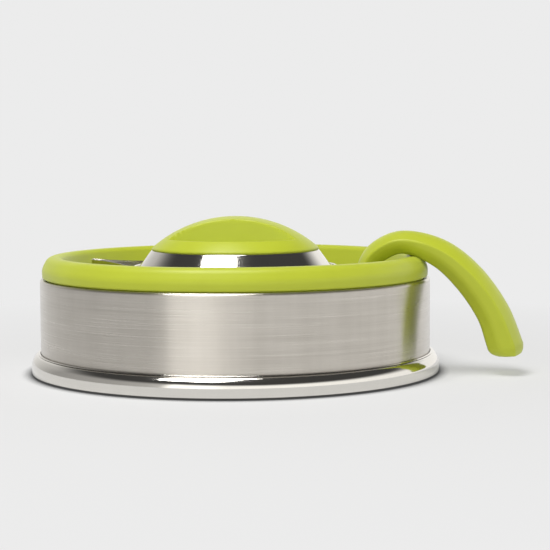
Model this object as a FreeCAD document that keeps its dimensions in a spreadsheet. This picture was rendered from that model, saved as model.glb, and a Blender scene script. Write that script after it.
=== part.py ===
import FreeCAD, Part

import math
import os
import re

import Sketcher
from FreeCAD import Placement, Rotation, Vector

# A collapsible stovetop kettle, standing folded: a steel pot with a capped, heat-spreading base, two
# silicone folds that sink into the pot, a steel collar with an open spout and a fixed handle, and a
# lift-off lid with a pinch knob.  Millimetres, +Z up, +X towards the handle, the spout at -X.
# The origin is the centre of the base's underside.

OUT = "parts"

# --------------------------------------------------------------------------------------------------
# Driving dimensions.  Radii are from the kettle's axis, heights from the surface it stands on.

SIZES = {
    "steel_thick": 0.8,
    "fit_gap": 0.02,
    # capped base
    "flange_rad": 90.3,
    "flange_top": 9.0,
    "flange_round": 3.2,
    "cap_foot_round": 1.2,
    "cap_gap": 0.05,
    "spreader_rad": 88.8,
    "spreader_thick": 3.8,
    # pot
    "wall_rad": 86.2,
    "wall_corner": 5.0,
    "rim_top": 41.5,
    "rim_lip_rad": 83.6,
    "rim_lip_drop": 2.6,
    "rim_round": 1.25,
    "rim_inner_round": 0.35,
    # silicone outer ring, gripped in the pot's rim
    "cuff_rad": 83.2,
    "cuff_thick": 1.8,
    "cuff_low": 30.0,
    "ring_rad": 85.2,
    "ring_lean": 0.3,
    "ring_low_round": 0.5,
    "ring_low": 41.9,
    "ring_crest_rad": 78.0,
    "ring_crest": 51.2,
    "ring_outer_round": 7.0,
    "ring_crest_round": 2.4,
    "clamp_thick": 0.9,
    "clamp_width": 8.0,
    "clamp_gap": 0.1,
    "clamp_inset": 1.0,
    # silicone folds
    "fold_thick": 2.0,
    "outer_fold_top": 47.0,
    "outer_fold_top_rad": 77.0,
    "outer_fold_low": 24.0,
    "outer_fold_low_rad": 68.0,
    "mid_root": 21.0,
    "mid_valley_rad": 64.2,
    "mid_arm_low_rad": 62.2,
    "mid_arm_top_rad": 59.4,
    "mid_crest_rad": 61.2,
    "mid_crest": 36.0,
    "mid_round": 1.4,
    "inner_fold_top": 33.0,
    "inner_fold_top_rad": 58.9,
    "inner_fold_low": 28.0,
    "inner_fold_low_rad": 52.6,
    # collar
    "skirt_rad": 49.0,
    "skirt_low": 26.0,
    "skirt_high": 31.0,
    "mouth_rad": 45.0,
    "mouth_top": 46.4,
    "mouth_round": 0.5,
    "roll_thick": 1.7,
    "roll_half": 0.6,
    "roll_round": 0.55,
    "roll_low_round": 0.2,
    "cone_top": 41.0,
    "cone_inner_top": 40.6,
    "seat_height": 43.2,
    "seat_rad": 42.4,
    "seat_round": 0.3,
    "top_cuff_low": 23.6,
    "top_cuff_rad": 46.9,
    "top_cuff_high": 30.4,
    "top_cuff_round": 0.6,
    "top_cuff_low_round": 1.4,
    # window in the collar that feeds the spout
    "window_half": 14.0,
    "window_low": 33.0,
    "window_top": 41.4,
    "window_round": 3.0,
    # spout, measured outwards from the axis
    "spout_root_x": 40.0,
    "spout_tip_x": 64.0,
    "spout_tip_top": 49.9,
    "spout_tip_low": 47.2,
    "spout_root_low": 31.6,
    "spout_root_top": 45.8,
    "spout_wall": 0.6,
    "spout_floor": 1.1,
    "spout_belly_share": 0.72,
    "spout_belly_rise": 0.3,
    # handle bracket
    "bracket_thick": 1.6,
    "bracket_low": 31.4,
    "foot_low": 36.9,
    "bracket_angle": 24.0,
    "foot_half": 9.0,
    "foot_out": 63.6,
    "foot_round": 3.0,
    "foot_root": 0.6,
    "rivet_side": 6.0,
    "rivet_height": 34.0,
    "rivet_hole": 1.75,
    "rivet_shank": 1.7,
    "rivet_head": 2.4,
    "rivet_head_high": 0.9,
    "screw_out": 58.4,
    "screw_side": 4.8,
    "screw_rad": 1.55,
    "screw_hole": 1.6,
    "screw_head": 3.2,
    "screw_length": 9.5,
    "screw_point": 1.0,
    "screw_point_rad": 0.75,
    "grip_bevel": 2.0,
    "flank_share": 0.93,
    "inner_share": 0.66,
    "inner_drop": 0.43,
    # lid
    "lid_top": 53.5,
    "lid_top_rad": 37.1,
    "lid_low": 44.4,
    "lid_low_rad": 44.1,
    "lid_edge": 0.88,
    "lid_top_inner_rad": 36.6,
    "lid_round": 1.0,
    "lid_inner_round": 0.6,
    "lid_hole": 2.1,
    "plug_rad": 42.0,
    "plug_low": 36.5,
    "plug_straight_top": 44.6,
    "plug_top": 45.3,
    "plug_top_rad": 41.45,
    "seal_rad": 44.0,
    "seal_low_round": 0.4,
    "seal_top_round": 0.3,
    # knob
    "knob_low": 53.5,
    "knob_rad": 37.0,
    "knob_edge": 54.4,
    "knob_bevel": 0.3,
    "knob_top": 68.3,
    "fin_half": 9.5,
    "recess_floor": 59.2,
    "recess_blend": 4.0,
    "knob_turn": 4.0,
    "boss_rad": 4.0,
    "boss_depth": 7.0,
    "bore_end_gap": 0.1,
    "groove_half": 0.6,
    "groove_deep": 0.5,
    "groove_slope": 0.3,
    "thread_rad": 2.0,
    "washer_rad": 6.5,
    "washer_thick": 1.0,
    "washer_round": 0.3,
    "knob_screw_rad": 1.97,
    "knob_screw_top": 60.3,
    "knob_screw_point_rad": 1.4,
    "knob_screw_head": 3.8,
    "knob_screw_head_high": 2.2,
    "knob_screw_round": 0.9,
    "cross_half": 0.35,
    "cross_reach": 2.0,
    "cross_deep": 1.2,
}

# The handle's stations from its root inside the ring to its free end: distance from the axis and
# height of the middle of the section, the way the handle runs there (degrees above +X), thickness
# across the curve and half width.
HANDLE_STATIONS = [
    ("root", 58.5, 38.5, 90, 10.4, 9.4),
    ("neck", 59.4, 46.5, 78, 9.8, 9.8),
    ("shoulder", 64.4, 53.2, 42, 9.6, 10.4),
    ("top", 75.0, 57.0, 2, 9.6, 11.2),
    ("back", 90.4, 52.5, -29, 11.8, 11.8),
    ("grip", 103.2, 41.8, -48, 13.4, 12.2),
    ("low", 113.4, 27.2, -63, 14.0, 12.2),
    ("end", 119.7, 10.5, -86, 14.8, 11.8),
]

# Spout stations from the collar to the tip: share of the way out, and half width of the open top.
SPOUT_STATIONS = [
    ("root", 0.0, 23.0),
    ("throat", 0.26, 13.9),
    ("beak", 0.48, 8.0),
    ("nose", 0.75, 3.2),
    ("tip", 1.0, 1.6),
]

for name, out, height, angle, thick, half in HANDLE_STATIONS:
    SIZES[f"grip_{name}_x"] = out
    SIZES[f"grip_{name}_z"] = height
    SIZES[f"grip_{name}_angle"] = angle
    SIZES[f"grip_{name}_thick"] = thick
    SIZES[f"grip_{name}_half"] = half
for name, share, half in SPOUT_STATIONS:
    SIZES[f"spout_{name}_share"] = share
    SIZES[f"spout_{name}_open"] = half

doc = FreeCAD.newDocument("collapsible_kettle")
sheet = doc.addObject("Spreadsheet::Sheet", "dims")
for row, (alias, value) in enumerate(SIZES.items(), start=1):
    sheet.set(f"A{row}", alias)
    sheet.set(f"B{row}", str(value))
    sheet.setAlias(f"B{row}", alias)
doc.recompute()

PARTS = []


# --------------------------------------------------------------------------------------------------
# Sketching and feature helpers


def on_sheet(formula):
    """The formula with each dimension's name pointing at the sheet."""
    return re.sub(r"[a-z]\w*", lambda word: f"dims.{word[0]}" if word[0] in SIZES else word[0], formula)


def number(formula):
    """What a formula on the sheet comes to."""
    return float(sheet.evalExpression(on_sheet(formula)))


def bind(obj, prop, formula):
    """Ties a property to a formula on the sheet."""
    obj.setExpression(prop, on_sheet(formula))


def new_body(label):
    body = doc.addObject("PartDesign::Body", label)
    body.Label = label
    PARTS.append(body)
    return body


def new_sketch(body, name, role="XZ_Plane", placement=None):
    """A sketch on one of the body's own origin planes; placement is a formula for its offset."""
    sketch = body.newObject("Sketcher::SketchObject", f"{body.Name}_{name}")
    plane = next(item for item in body.Origin.OriginFeatures if item.Role == role)
    sketch.AttachmentSupport = [(plane, "")]
    sketch.MapMode = "FlatFace"
    if placement:
        bind(sketch, "AttachmentOffset", placement)
    return sketch


def offset(across="0", up="0", out="0", turn="0"):
    """Formula for a sketch offset in its plane's own axes, turned about the plane's first axis."""
    return f"placement(vector({across}; {up}; {out}); rotation(vector(1; 0; 0); {turn}))"


def pin_point(sketch, geo, pos, x, y):
    """Ties a sketch point to the formulas for its place."""
    for kind, axis, formula in (("DistanceX", -2, x), ("DistanceY", -1, y)):
        if formula == "0":
            sketch.addConstraint(Sketcher.Constraint("PointOnObject", geo, pos, axis))
            continue
        value = number(formula)
        ends = (-1, 1, geo, pos) if value >= 0 else (geo, pos, -1, 1)
        sign = 1 if value >= 0 else -1
        index = sketch.addConstraint(Sketcher.Constraint(kind, *ends, abs(value)))
        bind(sketch, f"Constraints[{index}]", f"{sign} * ({formula})")


def outline(sketch, corners):
    """Draws a closed outline.  A corner is (x, y) or (x, y, rounding); ("via", x, y) between two
    corners makes the run between them an arc through that point.  Every value is a formula."""
    points = [corner for corner in corners if corner[0] != "via"]
    vias = {}
    for index, corner in enumerate(corners):
        if corner[0] == "via":
            vias[sum(1 for item in corners[:index] if item[0] != "via") - 1] = corner[1:]
    place = [Vector(number(point[0]), number(point[1]), 0) for point in points]
    count = len(points)
    leave, arrive, rounds = list(place), list(place), {}
    for index, point in enumerate(points):
        if len(point) < 3:
            continue
        radius = number(point[2])
        back = (place[index - 1] - place[index]).normalize()
        ahead = (place[(index + 1) % count] - place[index]).normalize()
        half = back.getAngle(ahead) / 2
        bisector = (back + ahead).normalize()
        arrive[index] = place[index] + back * (radius / math.tan(half))
        leave[index] = place[index] + ahead * (radius / math.tan(half))
        middle = place[index] + bisector * (radius / math.sin(half) - radius)
        rounds[index] = (arrive[index], middle, leave[index])
    runs = []
    for index in range(count):
        ahead = (index + 1) % count
        if index in vias:
            through = Vector(number(vias[index][0]), number(vias[index][1]), 0)
            curve = Part.Arc(leave[index], through, arrive[ahead])
        else:
            curve = Part.LineSegment(leave[index], arrive[ahead])
        runs.append(sketch.addGeometry(curve, False))

    def end_at(geo, where):
        """Which end of a run lies at a place: 1 for its start, 2 for its end."""
        return 1 if (sketch.getPoint(geo, 1) - where).Length < (sketch.getPoint(geo, 2) - where).Length else 2

    for index, point in enumerate(points):
        before, after = runs[index - 1], runs[index]
        last, first = end_at(before, arrive[index]), end_at(after, leave[index])
        if index not in rounds:
            sketch.addConstraint(Sketcher.Constraint("Coincident", before, last, after, first))
            pin_point(sketch, after, first, point[0], point[1])
            continue
        corner = sketch.addGeometry(Part.Point(place[index]), True)
        sketch.addConstraint(Sketcher.Constraint("PointOnObject", corner, 1, before))
        sketch.addConstraint(Sketcher.Constraint("PointOnObject", corner, 1, after))
        pin_point(sketch, corner, 1, point[0], point[1])
        arc = sketch.addGeometry(Part.Arc(*rounds[index]), False)
        sketch.addConstraint(
            Sketcher.Constraint("Tangent", before, last, arc, end_at(arc, arrive[index])))
        sketch.addConstraint(
            Sketcher.Constraint("Tangent", after, first, arc, end_at(arc, leave[index])))
        size = sketch.addConstraint(Sketcher.Constraint("Radius", arc, number(point[2])))
        bind(sketch, f"Constraints[{size}]", point[2])
    for index, (x, y) in vias.items():
        through = sketch.addGeometry(Part.Point(Vector(number(x), number(y), 0)), True)
        sketch.addConstraint(Sketcher.Constraint("PointOnObject", through, 1, runs[index]))
        pin_point(sketch, through, 1, x, y)


def circles(sketch, spots):
    """Draws circles: (x, y, radius), each value a formula."""
    for x, y, radius in spots:
        centre = Vector(number(x), number(y), 0)
        geo = sketch.addGeometry(Part.Circle(centre, Vector(0, 0, 1), number(radius)), False)
        pin_point(sketch, geo, 3, x, y)
        size = sketch.addConstraint(Sketcher.Constraint("Radius", geo, number(radius)))
        bind(sketch, f"Constraints[{size}]", radius)


def revolve(body, name, corners, kind="PartDesign::Revolution", angle=None):
    """Turns an outline in the XZ plane about the kettle's axis, all round or over a mid-plane angle."""
    sketch = new_sketch(body, f"{name}_outline")
    outline(sketch, corners)
    feature = body.newObject(kind, f"{body.Name}_{name}")
    feature.Profile = sketch
    feature.ReferenceAxis = (sketch, ["V_Axis"])
    feature.Angle = 360
    if angle:
        feature.Midplane = True
        bind(feature, "Angle", angle)
    return feature


def extrude(body, name, draw, depth, role="XY_Plane", placement=None, kind="PartDesign::Pad"):
    """Pads or pockets what draw(sketch) puts on a plane, by depth along the plane's normal."""
    sketch = new_sketch(body, f"{name}_outline", role, placement)
    draw(sketch)
    feature = body.newObject(kind, f"{body.Name}_{name}")
    feature.Profile = sketch
    feature.Reversed = kind == "PartDesign::Pocket"
    bind(feature, "Length", depth)
    return feature


def loft(body, name, sketches, kind="PartDesign::AdditiveLoft"):
    feature = body.newObject(kind, f"{body.Name}_{name}")
    feature.Profile = sketches[0]
    feature.Sections = sketches[1:]
    feature.Ruled = False
    return feature


# The least a cut has to take away, in cubic millimetres
LEAST_CUT = 0.5


def must_cut(body, feature, before):
    """Stops the build when a cut took nothing away."""
    doc.recompute()
    if feature.Shape.Volume > before - LEAST_CUT:
        raise RuntimeError(f"{feature.Name} on {body.Label} cuts nothing")


def lathe(label, corners):
    """A sub-part that is one turned outline."""
    body = new_body(label)
    revolve(body, "turned", corners)
    doc.recompute()
    return body


# --------------------------------------------------------------------------------------------------
# Pot and its capped base


def make_base_cap():
    """Pressed steel cap under the base, with the wide rounded flange."""
    return lathe("base_cap", [
        ("0", "0"),
        ("flange_rad", "0", "cap_foot_round"),
        ("flange_rad", "flange_top", "flange_round"),
        ("wall_rad + cap_gap", "flange_top"),
        ("wall_rad + cap_gap", "flange_top - steel_thick"),
        ("flange_rad - steel_thick", "flange_top - steel_thick", "flange_round - steel_thick"),
        ("flange_rad - steel_thick", "steel_thick"),
        ("0", "steel_thick"),
    ])


def make_heat_spreader():
    """Aluminium disc sandwiched between the cap and the pot's floor."""
    return lathe("heat_spreader", [
        ("0", "steel_thick"),
        ("spreader_rad", "steel_thick"),
        ("spreader_rad", "steel_thick + spreader_thick"),
        ("0", "steel_thick + spreader_thick"),
    ])


def make_base_shell():
    """Drawn steel pot: flat floor, rounded corner, straight wall and a rim curled inwards."""
    floor = "steel_thick + spreader_thick"
    return lathe("base_shell", [
        ("0", floor),
        ("wall_rad", floor, "wall_corner"),
        ("wall_rad", "rim_top", "rim_round"),
        ("rim_lip_rad", "rim_top", "rim_round"),
        ("rim_lip_rad", "rim_top - rim_lip_drop"),
        ("rim_lip_rad + steel_thick", "rim_top - rim_lip_drop"),
        ("rim_lip_rad + steel_thick", "rim_top - steel_thick", "rim_inner_round"),
        ("wall_rad - steel_thick", "rim_top - steel_thick", "rim_inner_round"),
        ("wall_rad - steel_thick", f"{floor} + steel_thick", "wall_corner - steel_thick"),
        ("0", f"{floor} + steel_thick"),
    ])


def make_rim_clamp_ring():
    """Sprung steel band that presses the silicone cuff against the pot's rim from inside."""
    outer = "cuff_rad - cuff_thick - clamp_gap"
    low = "cuff_low + clamp_inset"
    return lathe("rim_clamp_ring", [
        (outer, low),
        (outer, f"{low} + clamp_width"),
        (f"{outer} - clamp_thick", f"{low} + clamp_width"),
        (f"{outer} - clamp_thick", low),
    ])


# --------------------------------------------------------------------------------------------------
# Silicone bellows: one moulding, divided at level faces where its parts move apart


def make_bellows_outer_ring():
    """The broad ring above the pot's rim, with the cuff that the rim grips."""
    return lathe("bellows_outer_ring", [
        ("cuff_rad - cuff_thick", "cuff_low"),
        ("cuff_rad", "cuff_low"),
        ("cuff_rad", "ring_low"),
        ("ring_rad", "ring_low", "ring_low_round"),
        ("ring_rad - ring_lean", "ring_crest", "ring_outer_round"),
        ("ring_crest_rad - ring_crest_round", "ring_crest", "ring_crest_round"),
        ("outer_fold_top_rad - fold_thick", "outer_fold_top"),
        ("outer_fold_top_rad", "outer_fold_top"),
        ("cuff_rad - cuff_thick", "ring_low"),
    ])


def make_bellows_outer_fold():
    """Wall that hangs from the outer ring and turns over as the kettle is opened."""
    return lathe("bellows_outer_fold", [
        ("outer_fold_top_rad - fold_thick", "outer_fold_top"),
        ("outer_fold_low_rad - fold_thick", "outer_fold_low"),
        ("outer_fold_low_rad", "outer_fold_low"),
        ("outer_fold_top_rad", "outer_fold_top"),
    ])


def make_bellows_mid_ring():
    """The stiff middle ring: valley, inner arm and crest between the two folds."""
    return lathe("bellows_mid_ring", [
        ("outer_fold_low_rad", "outer_fold_low"),
        ("outer_fold_low_rad", "mid_root", "mid_round"),
        ("mid_arm_low_rad", "mid_root", "mid_round"),
        ("mid_arm_top_rad", "inner_fold_top"),
        ("inner_fold_top_rad - fold_thick", "inner_fold_top"),
        ("inner_fold_top_rad - fold_thick", "mid_crest", "mid_round"),
        ("mid_crest_rad", "mid_crest", "mid_round"),
        ("mid_valley_rad", "outer_fold_low"),
    ])


def make_bellows_inner_fold():
    """Short inner wall that hangs from the middle ring's crest."""
    return lathe("bellows_inner_fold", [
        ("inner_fold_top_rad - fold_thick", "inner_fold_top"),
        ("inner_fold_low_rad - fold_thick", "inner_fold_low"),
        ("inner_fold_low_rad", "inner_fold_low"),
        ("inner_fold_top_rad", "inner_fold_top"),
    ])


def make_bellows_top_cuff():
    """U-shaped cuff that takes the collar's lower edge."""
    return lathe("bellows_top_cuff", [
        ("top_cuff_rad", "top_cuff_low", "top_cuff_round"),
        ("inner_fold_low_rad", "top_cuff_low", "top_cuff_low_round"),
        ("inner_fold_low_rad", "inner_fold_low"),
        ("skirt_rad + fit_gap", "inner_fold_low"),
        ("skirt_rad + fit_gap", "skirt_low"),
        ("skirt_rad - steel_thick - fit_gap", "skirt_low"),
        ("skirt_rad - steel_thick - fit_gap", "top_cuff_high"),
        ("top_cuff_rad", "top_cuff_high", "top_cuff_round"),
    ])


# --------------------------------------------------------------------------------------------------
# Collar, spout and handle bracket


# How much the collar's cone narrows for each millimetre of height
SLOPE = "(skirt_rad - mouth_rad) / (mouth_top - skirt_high)"


def cone_rad(height):
    """Formula for the collar's outer radius at a height, on its conical part."""
    return f"(skirt_rad - ({height} - skirt_high) * {SLOPE})"


def make_collar():
    """Steel collar: rolled mouth, an inward bead that seats the lid, a cone and a short skirt."""
    body = new_body("collar")
    inside = "mouth_rad - roll_half"
    outside = "mouth_rad + roll_half"
    revolve(body, "turned", [
        ("skirt_rad", "skirt_low"),
        ("skirt_rad", "skirt_high"),
        (cone_rad("cone_top"), "cone_top"),
        ("seat_rad + steel_thick", "seat_height - steel_thick"),
        ("mouth_rad", "seat_height - steel_thick", "mouth_round"),
        ("mouth_rad", "mouth_top - roll_thick"),
        (outside, "mouth_top - roll_thick", "roll_low_round"),
        (outside, "mouth_top", "roll_round"),
        (inside, "mouth_top", "roll_round"),
        (inside, "seat_height"),
        ("seat_rad", "seat_height", "seat_round"),
        ("seat_rad", "seat_height - steel_thick"),
        (cone_rad("cone_inner_top") + " - steel_thick", "cone_inner_top"),
        ("skirt_rad - steel_thick", "skirt_high"),
        ("skirt_rad - steel_thick", "skirt_low"),
    ])
    doc.recompute()
    before = body.Shape.Volume
    window = extrude(
        body, "spout_window",
        lambda sketch: outline(sketch, [
            ("-1 * window_half", "window_low", "window_round"),
            ("window_half", "window_low", "window_round"),
            ("window_half", "window_top", "window_round"),
            ("-1 * window_half", "window_top", "window_round"),
        ]),
        "2 * skirt_rad", role="YZ_Plane", kind="PartDesign::Pocket")
    window.Reversed = False
    must_cut(body, window, before)
    rivet_holes(body)
    return body


def rivet_holes(body):
    """The two holes for the bracket's rivets, along X on the handle's side."""
    before = body.Shape.Volume
    holes = extrude(
        body, "rivet_holes",
        lambda sketch: circles(sketch, [
            ("rivet_side", "rivet_height", "rivet_hole"),
            ("-1 * rivet_side", "rivet_height", "rivet_hole"),
        ]),
        "2 * skirt_rad", role="YZ_Plane", kind="PartDesign::Pocket")
    must_cut(body, holes, before)


def make_collar_clamp_ring():
    """Steel ring inside the top cuff, squeezing it onto the collar's skirt."""
    outer = "top_cuff_rad - fit_gap"
    return lathe("collar_clamp_ring", [
        (outer, "top_cuff_low + clamp_inset"),
        (outer, "top_cuff_high - clamp_inset"),
        (f"{outer} - steel_thick", "top_cuff_high - clamp_inset"),
        (f"{outer} - steel_thick", "top_cuff_low + clamp_inset"),
    ])


def spout_sections(body, name, inset):
    """Sketches of the trough's V at each station; inset is the wall taken off for the inside."""
    sketches = []
    for station, _, _ in SPOUT_STATIONS:
        share = f"spout_{station}_share"
        out = f"spout_root_x + (spout_tip_x - spout_root_x) * {share}"
        half = f"spout_{station}_open"
        top = f"spout_root_top + (spout_tip_top - spout_root_top) * {share}"
        low = f"spout_root_low + (spout_tip_low - spout_root_low) * {share}"
        if inset:
            half = f"{half} - spout_wall"
            low = f"{low} + spout_floor"
            top = f"{top} + 2 * spout_wall"
        sketch = new_sketch(
            body, f"{name}_{station}", "YZ_Plane", offset(out=f"-1 * ({out})"))
        belly = f"{low} + spout_belly_rise * ({top} - ({low}))"
        outline(sketch, [
            (f"-1 * ({half})", top),
            (f"-1 * spout_belly_share * ({half})", belly),
            ("via", "0", low),
            (f"spout_belly_share * ({half})", belly),
            (half, top),
        ])
        sketches.append(sketch)
    return sketches


def make_spout():
    """Open beak of sheet steel: an outer trough, hollowed, and trimmed to the collar's cone."""
    body = new_body("spout")
    loft(body, "outside", spout_sections(body, "outside", inset=False))
    doc.recompute()
    before = body.Shape.Volume
    hollow = loft(body, "inside", spout_sections(body, "inside", inset=True),
                  "PartDesign::SubtractiveLoft")
    must_cut(body, hollow, before)
    before = body.Shape.Volume
    roll = "mouth_rad + roll_half + fit_gap"
    trim = revolve(body, "trim", [
        ("0", "skirt_low"),
        ("skirt_rad + fit_gap", "skirt_low"),
        ("skirt_rad + fit_gap", "skirt_high"),
        (cone_rad("cone_top") + " + fit_gap", "cone_top"),
        (roll, "cone_top + roll_half"),
        (roll, "2 * mouth_top"),
        ("0", "2 * mouth_top"),
    ], "PartDesign::Groove")
    must_cut(body, trim, before)
    return body


def make_handle_bracket():
    """Bent steel bracket: a curved plate riveted to the collar and a flat foot under the handle."""
    body = new_body("handle_bracket")
    top = "foot_low + bracket_thick"
    revolve(body, "plate", [
        (cone_rad("bracket_low") + " + fit_gap", "bracket_low"),
        (cone_rad("bracket_low") + " + fit_gap + bracket_thick", "bracket_low"),
        (cone_rad(f"({top})") + " + fit_gap + bracket_thick", top),
        (cone_rad(f"({top})") + " + fit_gap", top),
    ], angle="bracket_angle")
    root = cone_rad("foot_low") + " + fit_gap + foot_root"
    extrude(
        body, "foot",
        lambda sketch: outline(sketch, [
            (root, "-1 * foot_half"),
            ("foot_out", "-1 * foot_half", "foot_round"),
            ("foot_out", "foot_half", "foot_round"),
            (root, "foot_half"),
        ]),
        "bracket_thick", placement=offset(out="foot_low"))
    doc.recompute()
    rivet_holes(body)
    for side, sign in (("left", ""), ("right", "-1 * ")):
        before = body.Shape.Volume
        sink = countersink(body, side, f"{sign}screw_side")
        must_cut(body, sink, before)
    return body


def countersink(body, name, side):
    """Cone and clearance hole for one handle screw, turned about the screw's own axis."""
    plane = f"placement(vector(0; 0; -1 * ({side})); rotation(vector(1; 0; 0); 0))"
    sketch = new_sketch(body, f"sink_{name}", "XZ_Plane", plane)
    cone = "screw_out + screw_head + fit_gap"
    under = "foot_low - steel_thick"
    over = "foot_low + bracket_thick + steel_thick"
    outline(sketch, [
        ("screw_out", under),
        (cone, under),
        (cone, "foot_low"),
        ("screw_out + screw_hole", "foot_low + bracket_thick"),
        ("screw_out + screw_hole", over),
        ("screw_out", over),
    ])
    axis = sketch.addGeometry(Part.LineSegment(
        Vector(number("screw_out"), number(under), 0),
        Vector(number("screw_out"), number(over), 0)), True)
    pin_point(sketch, axis, 1, "screw_out", under)
    pin_point(sketch, axis, 2, "screw_out", over)
    cut = body.newObject("PartDesign::Groove", f"{body.Name}_sink_{name}_cut")
    cut.Profile = sketch
    cut.ReferenceAxis = (sketch, ["Axis0"])
    cut.Angle = 360
    return cut


def pair_node(label, solids):
    """Two equal fasteners as one node."""
    feature = doc.addObject("Part::Feature", label)
    feature.Label = label
    feature.Shape = Part.makeCompound(solids)
    PARTS.append(feature)
    return feature


def solid_cone(growth):
    """The space inside the collar's cone when its surface is moved outwards by growth."""
    low, high = number("skirt_high"), number("cone_top")
    cone = Part.makeCone(number(cone_rad("skirt_high")) + growth,
                         number(cone_rad("cone_top")) + growth, high - low)
    cone.translate(Vector(0, 0, low))
    return cone


def make_bracket_rivets():
    """Two rivets through the collar and the bracket's plate, their heads formed to both surfaces."""
    height, head = number("rivet_height"), number("rivet_head")
    high, gap = number("rivet_head_high"), number("fit_gap")
    outer_skin = number("bracket_thick + 2 * fit_gap")
    inner_skin = -number("steel_thick + fit_gap")
    middle = number(cone_rad("rivet_height"))
    slope = head * number(SLOPE) + high
    solids = []
    for sign in (1, -1):
        side = sign * number("rivet_side")
        sagitta = middle - math.sqrt(middle ** 2 - side ** 2)
        inner = middle + inner_skin - sagitta - slope
        outer = middle + outer_skin - sagitta + slope

        def round_bar(radius, start, end):
            return Part.makeCylinder(radius, end - start, Vector(start, side, height), Vector(1, 0, 0))

        outer_head = round_bar(head, middle - high, outer).cut(solid_cone(outer_skin))
        inner_head = round_bar(head, inner, middle).common(solid_cone(inner_skin))
        shank = round_bar(number("rivet_shank"), inner + gap, outer - gap)
        solids.append(shank.fuse([outer_head, inner_head]).removeSplitter().Solids[0])
    return pair_node("bracket_rivets", solids)


def make_handle_screws():
    """Two countersunk screws up through the bracket's foot into the handle's root."""
    profile = [
        ("0", "0"),
        ("screw_head", "0"),
        ("screw_rad", "bracket_thick"),
        ("screw_rad", "bracket_thick + screw_length - screw_point"),
        ("screw_point_rad", "bracket_thick + screw_length"),
        ("0", "bracket_thick + screw_length"),
    ]
    points = [Vector(number(radius), 0, number(station)) for radius, station in profile]
    outline_face = Part.Face(Part.makePolygon(points + points[:1]))
    solids = []
    for sign in (1, -1):
        solid = outline_face.revolve(Vector(0, 0, 0), Vector(0, 0, 1), 360)
        solid.translate(Vector(number("screw_out"), sign * number("screw_side"), number("foot_low")))
        solids.append(solid)
    return pair_node("handle_screws", solids)


# --------------------------------------------------------------------------------------------------
# Handle


def draw_handle_section(sketch, half, thick):
    """A crowned back, the widest line a third of the way in, and flanks that close to a narrower,
    slightly rounded inner face."""
    outline(sketch, [
        (f"-1 * {half}", f"{thick} / 6"),
        ("via", "0", f"{thick} / 2"),
        (half, f"{thick} / 6"),
        ("via", f"flank_share * {half}", f"-1 * {thick} / 6"),
        (f"inner_share * {half}", f"-1 * inner_drop * {thick}"),
        ("via", "0", f"-1 * {thick} / 2"),
        (f"-1 * inner_share * {half}", f"-1 * inner_drop * {thick}"),
        ("via", f"-1 * flank_share * {half}", f"-1 * {thick} / 6"),
    ])


def handle_section(body, station, name="section"):
    """The handle's section at a station, square to the way the handle runs there."""
    sketch = new_sketch(
        body, f"{station}_{name}", "YZ_Plane",
        offset(up=f"grip_{station}_z", out=f"grip_{station}_x", turn=f"-1 * grip_{station}_angle"))
    draw_handle_section(sketch, f"grip_{station}_half", f"grip_{station}_thick")
    return sketch


def handle_tip(body):
    """The smaller section that closes the handle's bevelled end."""
    sketch = new_sketch(
        body, "tip_section", "YZ_Plane",
        offset(up="grip_end_z + grip_bevel * sin(grip_end_angle)",
               out="grip_end_x + grip_bevel * cos(grip_end_angle)", turn="-1 * grip_end_angle"))
    draw_handle_section(sketch, "(grip_end_half - grip_bevel)", "(grip_end_thick - 2 * grip_bevel)")
    return sketch


def make_handle():
    """The fixed handle: it rises inside the ring, arches over it and hangs beside the pot."""
    body = new_body("handle")
    loft(body, "grip", [handle_section(body, station[0]) for station in HANDLE_STATIONS])
    doc.recompute()
    bevel = loft(body, "end_bevel", [handle_section(body, "end", "again"), handle_tip(body)])
    bevel.Ruled = True
    doc.recompute()
    before = body.Shape.Volume
    holes = extrude(
        body, "screw_holes",
        lambda sketch: circles(sketch, [
            ("screw_out", "screw_side", "screw_hole"),
            ("screw_out", "-1 * screw_side", "screw_hole"),
        ]),
        "screw_length + screw_point", placement=offset(out="foot_low + bracket_thick"),
        kind="PartDesign::Pocket")
    must_cut(body, holes, before)
    return body


# --------------------------------------------------------------------------------------------------
# Lid


def make_lid_shell():
    """Polished steel lid: flat top under the knob and a flared skirt."""
    inner_top = "lid_top - steel_thick"
    return lathe("lid_shell", [
        ("lid_hole", "lid_top"),
        ("lid_top_rad", "lid_top", "lid_round"),
        ("lid_low_rad", "lid_low"),
        ("lid_low_rad - lid_edge", "lid_low"),
        ("lid_top_inner_rad", inner_top, "lid_inner_round"),
        ("lid_hole", inner_top),
    ])


def make_lid_plug_ring():
    """Steel ring under the lid that drops into the mouth, flanged where it is welded on."""
    return lathe("lid_plug_ring", [
        ("plug_rad", "plug_low"),
        ("plug_rad", "plug_straight_top"),
        ("plug_top_rad", "plug_top"),
        ("plug_rad - steel_thick", "plug_top"),
        ("plug_rad - steel_thick", "plug_low"),
    ])


def make_lid_seal():
    """Silicone ring between the lid and the collar's seat, with a small bead on its outer edge."""
    return lathe("lid_seal", [
        ("plug_rad + fit_gap", "seat_height"),
        ("seal_rad", "seat_height", "seal_low_round"),
        ("seal_rad", "lid_low", "seal_top_round"),
        ("plug_rad + fit_gap", "lid_low"),
    ])


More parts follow.
